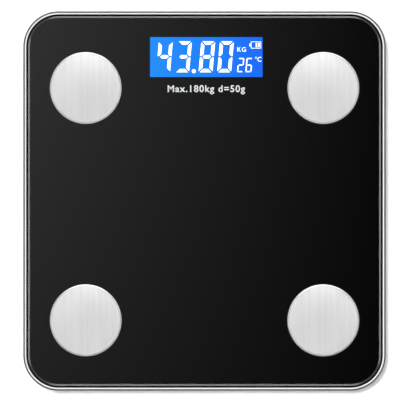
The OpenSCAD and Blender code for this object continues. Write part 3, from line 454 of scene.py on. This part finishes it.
def flat_bar(bm, x0, y0, x1, y1):
    """Adds a flat bar between two corners."""
    bmesh.ops.create_grid(
        bm, x_segments=1, y_segments=1, size=0.5,
        matrix=Matrix.Translation(((x0 + x1) / 2, (y0 + y1) / 2, 0))
        @ Matrix.Diagonal((x1 - x0, y1 - y0, 1, 1)),
    )


# The charge mark: an outlined cell with its nub to the left and two bars of charge to the right.
MARK_X0, MARK_Y0, MARK_X1, MARK_Y1 = 35.9 * MM, 117.9 * MM, 43.7 * MM, 123.2 * MM
MARK_LINE, NUB_IN, BAR_IN = 0.38 * MM, 1.5 * MM, 1.0 * MM
BAR_W, BAR_PITCH = 1.1 * MM, 1.9 * MM
bm = bmesh.new()
flat_bar(bm, MARK_X0, MARK_Y0, MARK_X1, MARK_Y1)
bm.faces.ensure_lookup_table()
inner = bm.faces[0]
inner.normal_update()
bmesh.ops.inset_region(
    bm, faces=[inner], thickness=MARK_LINE, use_even_offset=True, use_boundary=True
)
bmesh.ops.delete(bm, geom=[inner], context="FACES")
flat_bar(bm, MARK_X0 - 1.1 * MM, MARK_Y0 + NUB_IN, MARK_X0 - 0.2 * MM, MARK_Y1 - NUB_IN)
for n in range(2):
    bar_x = MARK_X1 - 4.1 * MM + BAR_PITCH * n
    flat_bar(bm, bar_x, MARK_Y0 + BAR_IN, bar_x + BAR_W, MARK_Y1 - BAR_IN)
thicken(bm, INK_Z, INK_T)
piece("charge_mark", bm, lit_white, "platform")

# ---------------------------------------------------------------------------------------------
# Batteries. Four steel-cased cells in plain shrink sleeves, a coppery band at each positive end.
# They sit head to tail between plated contacts and conical springs.
# ---------------------------------------------------------------------------------------------

BAND_SHARE = 0.3
NOSE_FROM, TAIL_TO, SLEEVE_END = 0.472, -0.494, 0.004


def sleeved_cell(number, towards):
    """Dresses one cell; towards is 1 where its positive end points to +Y."""
    low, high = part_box(f"battery_cell_{number}")
    length = high.y - low.y
    material, shader, place = finish(f"cell_sleeve_{number}", coat_weight=0.5, coat_roughness=0.12)
    along = (place.axis("Y") - (low.y + high.y) / 2) * (towards / length)
    band = along.step(0.5 - BAND_SHARE, 0.5 - BAND_SHARE + 0.01)
    nose = along.step(NOSE_FROM, NOSE_FROM + SLEEVE_END)
    bare = nose + (1 - along.step(TAIL_TO, TAIL_TO + SLEEVE_END))
    shrink = place.noise(260.0, 3.0)
    sleeve = band.between((0.012, 0.012, 0.014), (0.62, 0.27, 0.05))
    bare.between(sleeve, (0.62, 0.61, 0.58)).feed(shader, "Base Color")
    (bare * 0.9 + band * 0.35 * (1 - bare)).feed(shader, "Metallic")
    (0.3 + 0.15 * shrink).feed(shader, "Roughness")
    relief(shader, shrink, 0.04 * MM)
    dress(material, f"battery_cell_{number}")


for number in range(1, 5):
    sleeved_cell(number, 1 if number % 2 else -1)

contact, shader, place = finish("nickel_contact", metallic=1.0)
rub = place.noise(1200.0, 4.0, 0.7)
rub.between((0.56, 0.55, 0.52), (0.74, 0.73, 0.70)).feed(shader, "Base Color")
(0.2 + 0.25 * rub).feed(shader, "Roughness")
relief(shader, rub, 0.01 * MM)
dress(contact, "battery_springs", "battery_contacts")

# ---------------------------------------------------------------------------------------------
# Battery door. The same white ABS as the tray, with grip grooves and a moulded arrow that shows
# which way it is pressed to open.
# ---------------------------------------------------------------------------------------------

door_plastic = moulded("door_plastic", TRAY_SHADE, TRAY_WHITE, 0.40)
dress(door_plastic, "battery_door")

door_low, door_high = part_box("battery_door")
ARROW_Y = (door_low.y + door_high.y) / 2 + 1 * MM
TAIL_W, TAIL_L, HEAD_W, ARROW_L = 2.2 * MM, 5.5 * MM, 6 * MM, 9 * MM
ARROW_STAND, ARROW_T = 0.2 * MM, 0.25 * MM
bm = bmesh.new()
flat_bar(bm, -TAIL_W / 2, 0, TAIL_W / 2, TAIL_L)
head = ((-HEAD_W / 2, TAIL_L, 0), (HEAD_W / 2, TAIL_L, 0), (0, ARROW_L, 0))
bm.faces.new([bm.verts.new(corner) for corner in head])
bmesh.ops.translate(bm, verts=bm.verts, vec=(0, ARROW_Y, 0))
thicken(bm, door_low.z - ARROW_STAND, ARROW_T)
piece("door_arrow", bm, door_plastic, "battery_door")

# ---------------------------------------------------------------------------------------------
# Unit button. A dark grey cap that stands a little below the tray's underside in a round dish,
# with a moulded ring round it so a fingertip finds it.
# ---------------------------------------------------------------------------------------------

button_plastic = moulded("button_plastic", (0.085, 0.087, 0.092), (0.11, 0.113, 0.12), 0.38)
dress(button_plastic, "unit_button")

# ---------------------------------------------------------------------------------------------
# Tape and gasket. Black closed-cell foam, die-cut, with adhesive on both faces. It bonds the
# glass to the tray's flange and to the pods, and seals round the display.
# ---------------------------------------------------------------------------------------------

foam, shader, place = finish("closed_cell_foam", specular_ior_level=0.2)
cells = place.node("ShaderNodeTexVoronoi", {"feature": "F1"}, {"Vector": place, "Scale": 2600.0})
cells.between((0.030, 0.030, 0.031), (0.012, 0.012, 0.012)).feed(shader, "Base Color")
(0.75 + 0.2 * cells).feed(shader, "Roughness")
relief(shader, cells, 0.08 * MM)
dress(foam, "perimeter_tape", "pod_tape_pads", "lcd_gasket")

# ---------------------------------------------------------------------------------------------
# Back print. A deep black screen-printed film under the whole glass, short of its edge by a clear
# border and open over the display. Bonded to the glass, it has no shine of its own.
# ---------------------------------------------------------------------------------------------

film, shader, place = finish("black_film", specular_ior_level=0.0, roughness=0.9)
ink = place.noise(180.0, 4.0, 0.6)
ink.between((0.0010, 0.0010, 0.0011), (0.0016, 0.0016, 0.0017)).feed(shader, "Base Color")
dress(film, "back_print")

print_white, shader, place = finish("print_white", specular_ior_level=0.0)
screen = place.noise(1500.0, 2.0)
screen.between((0.86, 0.86, 0.86), (0.93, 0.93, 0.93)).feed(shader, "Base Color")
(0.7 + 0.1 * screen).feed(shader, "Roughness")

PRINT_SIZE, PRINT_AT = 7.35 * MM, (1.2 * MM, 84.3 * MM, 0)
FILM_TOP, PRINT_GAP, PRINT_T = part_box("back_print")[1].z, 0.005 * MM, 0.02 * MM
bm = bmesh.new()
lettering(
    bm, "Max.180kg d=50g", PRINT_SIZE, PRINT_AT, align="CENTER", weight=0.13 * MM, spacing=1.15
)
thicken(bm, FILM_TOP + PRINT_GAP, PRINT_T)
piece("capacity_print", bm, print_white, "platform")

# ---------------------------------------------------------------------------------------------
# Glass platform. 6 mm tempered float glass, clear with a faint green cast. Its edge is ground to
# a shallow inner facet, a steeper outer one and a rounded arris, all polished after cutting.
# ---------------------------------------------------------------------------------------------

glass_low, glass_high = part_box("glass_platform")
GLUE_T = 0.04 * MM
glass_low.z += GLUE_T
HALF_X, HALF_Y = glass_high.x, glass_high.y
CORNER_R = 27.5 * MM
LOWER_ARRIS = 0.6 * MM
ARRIS_R, ARRIS_TURN = 1.9 * MM, math.radians(68)
FACETS = ((2.65 * MM, math.radians(22)), (1.4 * MM, math.radians(9)))
BEVEL_W = ARRIS_R * (1 - math.cos(ARRIS_TURN)) + sum(w for w, slope in FACETS)
FACET_DROP = sum(w * math.tan(slope) for w, slope in FACETS)
WALL_TOP = glass_high.z - FACET_DROP - ARRIS_R * math.sin(ARRIS_TURN)
STUD_HOLE_R = 3 * MM


def rounded_face(bm, half_x, half_y, radius, z, segments):
    """Adds one flat face: a rectangle with round corners."""
    shape = Matrix.Translation((0, 0, z)) @ Matrix.Diagonal((half_x, half_y, 1, 1))
    made = bmesh.ops.create_grid(bm, x_segments=1, y_segments=1, size=1.0, matrix=shape)
    bmesh.ops.bevel(
        bm, geom=made["verts"], offset=radius, segments=segments, profile=0.5,
        affect="VERTICES", material=-1,
    )
    bm.faces.ensure_lookup_table()
    return bm.faces[-1]


bm = bmesh.new()
low_face = rounded_face(bm, HALF_X, HALF_Y, CORNER_R, glass_low.z + LOWER_ARRIS, 40)
raised = bmesh.ops.extrude_face_region(bm, geom=[low_face], use_keep_orig=True)
top = next(f for f in raised["geom"] if isinstance(f, bmesh.types.BMFace))
bmesh.ops.translate(
    bm, verts=list(top.verts), vec=(0, 0, WALL_TOP - glass_low.z - LOWER_ARRIS)
)
bmesh.ops.recalc_face_normals(bm, faces=bm.faces)
bmesh.ops.inset_region(
    bm, faces=[low_face], thickness=LOWER_ARRIS, depth=LOWER_ARRIS, use_even_offset=True
)
ARRIS_STEPS = 10
for n in range(ARRIS_STEPS):
    a, b = (ARRIS_TURN * k / ARRIS_STEPS for k in (n, n + 1))
    bmesh.ops.inset_region(
        bm, faces=[top], thickness=ARRIS_R * (math.cos(a) - math.cos(b)),
        depth=ARRIS_R * (math.sin(b) - math.sin(a)), use_even_offset=True,
    )
for width, slope in FACETS:
    bmesh.ops.inset_region(
        bm, faces=[top], thickness=width, depth=width * math.tan(slope), use_even_offset=True
    )

# The stud holes are drilled through the flat, one under each electrode.
studs = [sum(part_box("electrode_" + c), Vector()) / 2 for c in CORNERS]
rings = {}
for face in (top, low_face):
    z = face.calc_center_median().z
    outer = list(face.edges)
    holes = []
    for stud in studs:
        circle = bmesh.ops.create_circle(
            bm, cap_ends=False, segments=40, radius=STUD_HOLE_R,
            matrix=Matrix.Translation((stud.x, stud.y, z)),
        )
        holes.append(list({e for v in circle["verts"] for e in v.link_edges}))
    bmesh.ops.delete(bm, geom=[face], context="FACES_ONLY")
    bmesh.ops.triangle_fill(bm, edges=outer + sum(holes, []), use_beauty=True)
    rings[z] = holes
for above, below in zip(*rings.values()):
    bmesh.ops.bridge_loops(bm, edges=above + below)

clear_glass, shader, place = finish("tempered_glass", roughness=0.3, ior=1.5, coat_weight=0.1)
past_x = abs(place.axis("X")) - (HALF_X - CORNER_R)
past_y = abs(place.axis("Y")) - (HALF_Y - CORNER_R)
outside_x, outside_y = (past.math("MAXIMUM", 0.0) for past in (past_x, past_y))
outside = (outside_x * outside_x + outside_y * outside_y).math("SQRT")
inside = past_x.math("MAXIMUM", past_y).math("MINIMUM", 0.0)
from_edge = CORNER_R - outside - inside
# Within about a millimetre of the edge the glass turns opaque, matte and dark grey: the arris is
# matte, and its dark grey is painted shade standing in for the dark refraction at the glass's edge.
arris_painted_shade = 1 - from_edge.step(1.0 * MM, 1.4 * MM)
grind = place.noise(1400.0, 3.0)
grind.between((0.028, 0.032, 0.031), (0.048, 0.054, 0.052)).feed(shader, "Base Color")
front = 1 - place.node("ShaderNodeNewGeometry", output="Backfacing")
mirror_share = place.node("ShaderNodeFresnel", None, {"IOR": 1.5}) * front
clear = place.node("ShaderNodeBsdfTransparent", None, {"Color": (0.985, 0.995, 0.99, 1)})


def pane(boost):
    """Clear glass with a polished face. Where black lies behind it, a boosted share of a mirror
    dimmed to match looks the same with less grain."""
    grey = 1 / boost
    mirror = place.node(
        "ShaderNodeBsdfAnisotropic", None, {"Color": (grey, grey, grey, 1), "Roughness": 0.02}
    )
    return (mirror_share * boost).shaders(clear, mirror)


def show(material, surface):
    """Sends a shader to the material's output."""
    tree = material.node_tree
    tree.links.new(surface.socket, tree.nodes["Material Output"].inputs["Surface"])


BORDER_W, FADE = 2.3 * MM, 0.2 * MM
over_film = from_edge.step(BEVEL_W, BEVEL_W + FADE).shaders(pane(18), pane(4))
polished = from_edge.step(BORDER_W, BORDER_W + FADE).shaders(pane(1), over_film)
show(clear_glass, (arris_painted_shade * front).shaders(polished, Signal(shader.outputs[0])))
glass = piece("platform_glass", bm, clear_glass, "platform", 7.0)
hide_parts("glass_platform")

# ---------------------------------------------------------------------------------------------
# Electrodes. Stainless discs with a fine straight brushed grain and a rolled rim painted near
# white, a painted highlight. Each is set on a thin bead of black silicone that keeps water out of
# the stud holes; the bead's black also paints the dark halo of shade round each disc. A nylon
# washer, a plated terminal and a nut clamp each stud under the glass.
# ---------------------------------------------------------------------------------------------

dress(nylon, "electrode_washers")
dress(contact, "electrode_terminals", "electrode_nuts")

DISC_R = 27.65 * MM
RIM_W = 0.9 * MM
DISH_DEPTH, GRAIN_DEPTH = 2.0 * MM, 0.005 * MM
SEAL_W, SEAL_T = 0.75 * MM, 0.15 * MM


def brushed_disc(name, centre):
    """Brushed steel for one disc, its grain running front to rear and its rim painted near white as a
    highlight.
    """
    material, shader, place = finish(name, metallic=1.0)
    here = place.stretch(1, 1, 1, (-centre.x, -centre.y, 0))
    x, y = here.axis("X"), here.axis("Y")
    square = x * x + y * y
    radius = square.math("SQRT")
    rim_highlight = radius.step(DISC_R - RIM_W, DISC_R - 0.6 * RIM_W)
    fine = here.stretch(1, 0.012, 1).noise(2600.0, 5.0, 0.75)
    broad = here.stretch(1, 0.02, 1).noise(260.0, 3.0, 0.6)
    grain = fine * 0.6 + broad * 0.4
    steel = grain.step(0.3, 0.7).between((0.525, 0.525, 0.53), (0.625, 0.625, 0.63))
    # The rim's near-white colour is a painted highlight; its steel is the same as the disc's.
    rim_highlight.between(steel, (0.97, 0.97, 0.97)).feed(shader, "Base Color")
    ((0.40 + 0.12 * fine) * (1 - rim_highlight) + 0.4 * rim_highlight).feed(shader, "Roughness")
    dish = 1 - square / (DISC_R * DISC_R)
    relief(shader, dish + grain * (GRAIN_DEPTH / DISH_DEPTH) * (1 - rim_highlight), DISH_DEPTH)
    return material


# The bead is black silicone; its black ring also paints the dark halo of shade that rings each disc on
# the glass.
seal_and_halo, shader, place = finish("seal_silicone_and_halo", specular_ior_level=0.15)
skin = place.noise(800.0, 2.0)
skin.between((0.004, 0.004, 0.004), (0.007, 0.007, 0.007)).feed(shader, "Base Color")
(0.3 + 0.2 * skin).feed(shader, "Roughness")

for c, stud in zip(CORNERS, studs):
    dress(brushed_disc("brushed_" + c, stud), "electrode_" + c)
    bm = bmesh.new()
    bmesh.ops.create_circle(
        bm, cap_ends=False, segments=12, radius=SEAL_T,
        matrix=Matrix.Translation((stud.x + DISC_R, stud.y, glass_high.z + SEAL_T * 0.6))
        @ Matrix.Diagonal((SEAL_W / SEAL_T, 1, 1, 1)) @ Matrix.Rotation(math.pi / 2, 4, "X"),
    )
    bmesh.ops.spin(
        bm, geom=bm.verts[:] + bm.edges[:], cent=stud, axis=(0, 0, 1), angle=math.tau,
        steps=96, use_merge=True,
    )
    piece("seal_" + c, bm, seal_and_halo, "platform", 60.0)

# ---------------------------------------------------------------------------------------------
# Room. A plain white floor, a high soft key from the rear left, a fill for the underside, and a
# reflection card overhead whose panels the bevels and the brushed discs pick up.
# ---------------------------------------------------------------------------------------------


def room_square(name, half, z, material):
    """A level square of the room, which isn't part of the scale."""
    bm = bmesh.new()
    bmesh.ops.create_grid(
        bm, x_segments=1, y_segments=1, size=half, matrix=Matrix.Translation((0, 0, z))
    )
    mesh = bpy.data.meshes.new(name)
    bm.to_mesh(mesh)
    bm.free()
    mesh.materials.append(material)
    made = bpy.data.objects.new(name, mesh)
    bpy.context.scene.collection.objects.link(made)
    return made


# The floor is white from above and clear from below, so the underside can be seen.
floor_white, shader, place = finish("floor_white", specular_ior_level=0.0, roughness=1.0)
place.noise(3.0).between((0.90, 0.90, 0.90), (0.905, 0.905, 0.905)).feed(shader, "Base Color")
from_below = place.node("ShaderNodeNewGeometry", output="Backfacing")
see_through = place.node("ShaderNodeBsdfTransparent", None, {"Color": (1, 1, 1, 1)})
show(floor_white, from_below.shaders(Signal(shader.outputs[0]), see_through))
floor = room_square("floor", 12.0, 0.0, floor_white)
floor.visible_shadow = False

# The card's middle fades to the right and to the front. Bands beyond it light the bevels' facets,
# a ring joins them round the corners, and a panel to the rear lights the discs' rims.
CARD_Z, CARD_HALF = 3.0, 4.0
BAND_AT, BAND_REACH, BAND_GLOW = 1.19, 0.34, 4.0
RING_AT, RING_GLOW = 1.45, 1.3
REAR_AT, REAR_GLOW = 2.25, 7.5
MIDDLE_GLOW, DIM_GLOW = 0.73, 0.08


def near(value, at, full, reach):
    """1 within full of a place, fading to 0 at reach."""
    return 1 - abs(value - at).step(full, reach)


card_glow, shader, place = finish(
    "card_glow", base_color=(0, 0, 0, 1), specular_ior_level=0.0, emission_strength=1.0
)
x, y = place.axis("X"), place.axis("Y")
wide, deep = abs(x), abs(y)
across = x.step(-0.22, 0.235, 1.0, 0.13, "LINEAR")
along = y.step(0.205, -0.25, 1.0, 0.46, "LINEAR")
middle = (1 - wide.step(0.34, 0.55)) * (1 - deep.step(0.34, 0.55))
side_band = near(wide, BAND_AT, BAND_REACH * 0.7, BAND_REACH) * (1 - deep.step(0.30, 0.62))
end_band = near(deep, BAND_AT, BAND_REACH * 0.7, BAND_REACH) * (1 - wide.step(0.30, 0.62))
ring = near((x * x + y * y).math("SQRT"), RING_AT, 0.42, 0.7)
rear_panel = near(y, REAR_AT, 0.25, 0.45) * (1 - wide.step(1.0, 1.6))
glow = (
    MIDDLE_GLOW * across.math("POWER", 1.5) * along * middle
    + BAND_GLOW * (side_band + end_band) + RING_GLOW * ring + REAR_GLOW * rear_panel
    + DIM_GLOW * (1 - middle)
)
glow.feed(shader, "Emission Color")
card = room_square("reflection_card", CARD_HALF, CARD_Z, card_glow)
card.visible_camera = card.visible_diffuse = card.visible_shadow = False


def soft_sun(name, energy, spread, heading):
    """A distant light, spread degrees wide, that polished faces don't mirror."""
    light = bpy.data.objects.new(name, bpy.data.lights.new(name, "SUN"))
    light.data.energy = energy
    light.data.angle = math.radians(spread)
    light.rotation_mode = "QUATERNION"
    light.rotation_quaternion = Vector(heading).to_track_quat("-Z", "Y")
    light.visible_glossy = False
    bpy.context.scene.collection.objects.link(light)


soft_sun("key", 2.95, 9, (0.12, -0.12, -1))
soft_sun("under_fill", 1.6, 70, (-0.5, -0.35, 1))

world = bpy.data.worlds.new("room")
bpy.context.scene.world = world
world.use_nodes = True
world.node_tree.nodes["Background"].inputs["Color"].default_value = (0.45, 0.45, 0.455, 1)

# Camera: square above the glass, far off, with a long lens.
FRAME_WIDTH = 321.0 * MM
LENS, SENSOR = 600.0, 36.0
AIM_X, AIM_Y = 2.7 * MM, -5.4 * MM
camera = bpy.data.objects.new("camera", bpy.data.cameras.new("camera"))
camera.data.lens, camera.data.sensor_width = LENS, SENSOR
camera.location = (AIM_X, AIM_Y, glass_high.z + FRAME_WIDTH * LENS / SENSOR)
camera.data.clip_end = 100.0
bpy.context.scene.collection.objects.link(camera)
bpy.context.scene.camera = camera
bpy.context.scene.view_settings.view_transform = "Standard"
